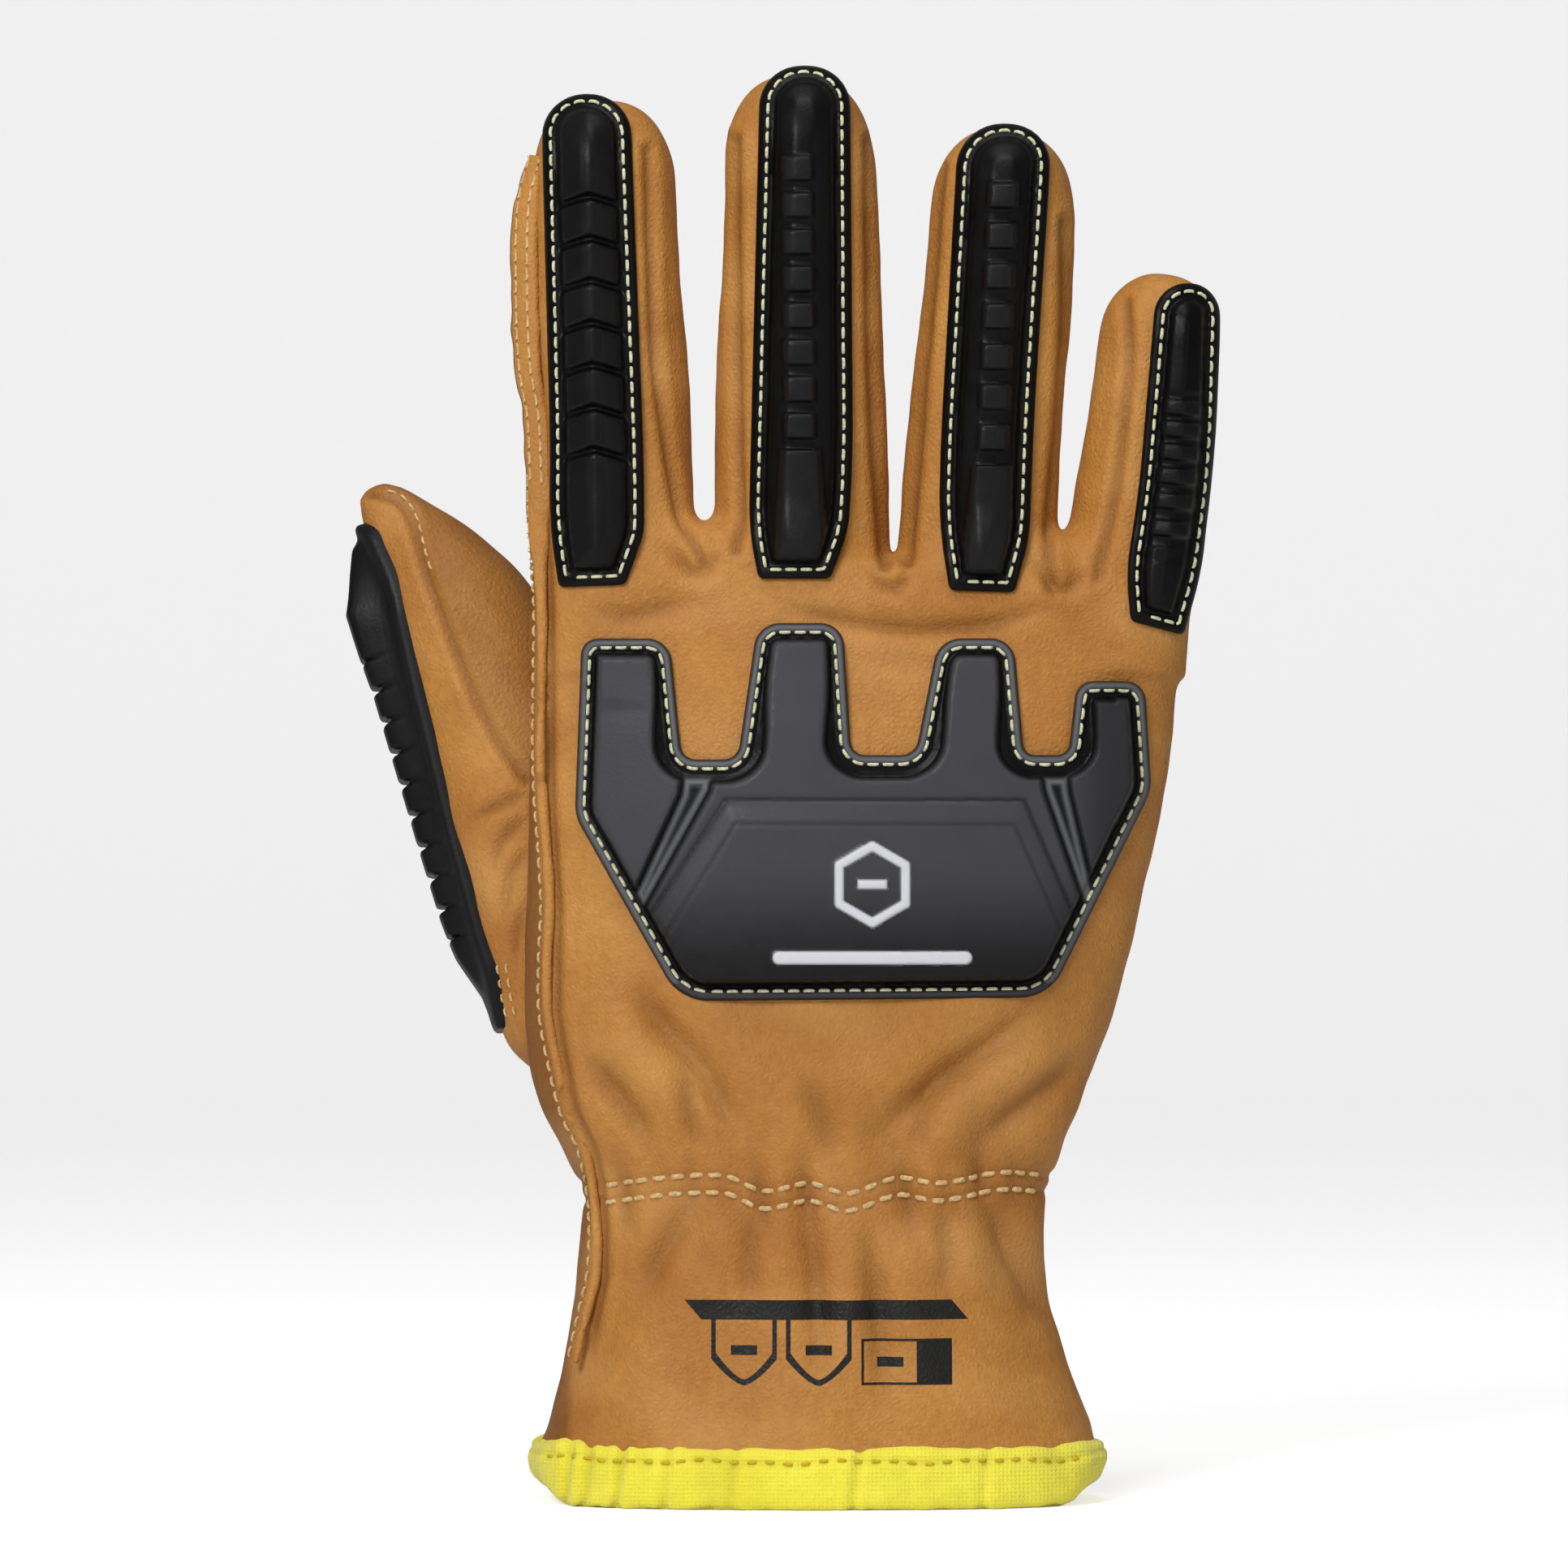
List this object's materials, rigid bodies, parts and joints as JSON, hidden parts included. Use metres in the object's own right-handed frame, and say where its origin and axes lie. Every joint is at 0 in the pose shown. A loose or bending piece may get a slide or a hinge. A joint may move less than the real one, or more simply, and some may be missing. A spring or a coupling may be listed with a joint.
{
  "type": "impact work glove",
  "caption": "Right-hand leather work glove with hinged fingers, thumb and wrist, moulded rubber impact guards on its back, a bound hem and an elastic wrist.",
  "frame": {"origin": "under the middle of the glove's bounding box, on the plane that its hem stands on", "axes": "+Z runs from the hem to the fingertips, -Y is the back of the hand with the guards, +Y is the palm, -X is the thumb side"},
  "size_m": [0.1598, 0.066, 0.2645],
  "materials": {
    "leather": "smooth grain, satin",
    "guard_rubber": "moulded, satin",
    "lining": "brushed knit",
    "hem_binding": "woven tape",
    "elastic": "woven elastic",
    "thread": "spun thread"
  },
  "bodies": {
    "cuff": {"cuff_back_panel": "leather", "cuff_palm_panel": "leather", "cuff_lining": "lining", "hem_binding": "hem_binding", "wrist_elastic": "elastic"},
    "hand": {"hand_back_panel": "leather", "palm_panel": "leather", "hand_lining": "lining", "knuckle_guard": "guard_rubber", "knuckle_guard_thread": "thread"},
    "knuckles": {"knuckle_back_panel": "leather", "knuckle_palm_panel": "leather", "knuckle_lining": "lining", "index_middle_fourchette": "leather", "middle_ring_fourchette": "leather", "ring_little_fourchette": "leather", "index_guard_base": "guard_rubber", "middle_guard_base": "guard_rubber", "ring_guard_base": "guard_rubber", "little_guard_base": "guard_rubber"},
    "index_middle": {"index_back_middle": "leather", "index_front_middle": "leather", "index_lining_middle": "lining", "index_guard_middle": "guard_rubber"},
    "index_tip": {"index_back_tip": "leather", "index_front_tip": "leather", "index_lining_tip": "lining", "index_guard_tip": "guard_rubber"},
    "middle_middle": {"middle_back_middle": "leather", "middle_front_middle": "leather", "middle_lining_middle": "lining", "middle_guard_middle": "guard_rubber"},
    "middle_tip": {"middle_back_tip": "leather", "middle_front_tip": "leather", "middle_lining_tip": "lining", "middle_guard_tip": "guard_rubber"},
    "ring_middle": {"ring_back_middle": "leather", "ring_front_middle": "leather", "ring_lining_middle": "lining", "ring_guard_middle": "guard_rubber"},
    "ring_tip": {"ring_back_tip": "leather", "ring_front_tip": "leather", "ring_lining_tip": "lining", "ring_guard_tip": "guard_rubber"},
    "little_middle": {"little_back_middle": "leather", "little_front_middle": "leather", "little_lining_middle": "lining", "little_guard_middle": "guard_rubber"},
    "little_tip": {"little_back_tip": "leather", "little_front_tip": "leather", "little_lining_tip": "lining", "little_guard_tip": "guard_rubber"},
    "thumb_base": {"thumb_back_base": "leather", "thumb_front_base": "leather", "thumb_lining_base": "lining", "thumb_guard_base": "guard_rubber"},
    "thumb_tip": {"thumb_back_tip": "leather", "thumb_front_tip": "leather", "thumb_lining_tip": "lining", "thumb_guard_tip": "guard_rubber"}
  },
  "joints": [
    {"name": "wrist_flex", "type": "hinge", "parent": "cuff", "child": "hand", "pos_m": [0.00518, -0.00218, 0.07], "axis": [-1, 0, 0], "range_deg": [-35, 45]},
    {"name": "knuckle_fold", "type": "hinge", "parent": "hand", "child": "knuckles", "pos_m": [0.00318, -0.00218, 0.1635], "axis": [-0.9968, 0, 0.0797], "range_deg": [0, 60]},
    {"name": "index_bend", "type": "hinge", "parent": "knuckles", "child": "index_middle", "pos_m": [-0.03191, -0.00218, 0.20657], "axis": [-0.9993, 0, -0.0384], "range_deg": [0, 80]},
    {"name": "index_tip_bend", "type": "hinge", "parent": "index_middle", "child": "index_tip", "pos_m": [-0.03294, -0.00218, 0.23355], "axis": [-0.9993, 0, -0.0384], "range_deg": [0, 48]},
    {"name": "middle_bend", "type": "hinge", "parent": "knuckles", "child": "middle_middle", "pos_m": [0.00278, -0.00218, 0.2102], "axis": [-1, 0, 0], "range_deg": [0, 80]},
    {"name": "middle_tip_bend", "type": "hinge", "parent": "middle_middle", "child": "middle_tip", "pos_m": [0.00278, -0.00218, 0.2382], "axis": [-1, 0, 0], "range_deg": [0, 48]},
    {"name": "ring_bend", "type": "hinge", "parent": "knuckles", "child": "ring_middle", "pos_m": [0.03705, -0.00218, 0.20186], "axis": [-0.9968, 0, 0.0802], "range_deg": [0, 80]},
    {"name": "ring_tip_bend", "type": "hinge", "parent": "ring_middle", "child": "ring_tip", "pos_m": [0.03921, -0.00218, 0.22868], "axis": [-0.9968, 0, 0.0802], "range_deg": [0, 48]},
    {"name": "little_bend", "type": "hinge", "parent": "knuckles", "child": "little_middle", "pos_m": [0.06591, -0.00218, 0.18945], "axis": [-0.9917, 0, 0.1288], "range_deg": [0, 75]},
    {"name": "little_tip_bend", "type": "hinge", "parent": "little_middle", "child": "little_tip", "pos_m": [0.06855, -0.00218, 0.20978], "axis": [-0.9917, 0, 0.1288], "range_deg": [0, 45]},
    {"name": "thumb_swing", "type": "hinge", "parent": "hand", "child": "thumb_base", "pos_m": [-0.03832, 0.00881, 0.087], "axis": [1, 0, 0], "range_deg": [-30, 0]},
    {"name": "thumb_bend", "type": "hinge", "parent": "thumb_base", "child": "thumb_tip", "pos_m": [-0.05533, 0.01835, 0.15214], "axis": [0.7669, -0.5752, 0.2845], "range_deg": [-50, 0]}
  ],
  "couplings": [
    {"joint": "index_tip_bend", "follows": "index_bend", "ratio": 0.6},
    {"joint": "middle_tip_bend", "follows": "middle_bend", "ratio": 0.6},
    {"joint": "ring_tip_bend", "follows": "ring_bend", "ratio": 0.6},
    {"joint": "little_tip_bend", "follows": "little_bend", "ratio": 0.6}
  ]
}
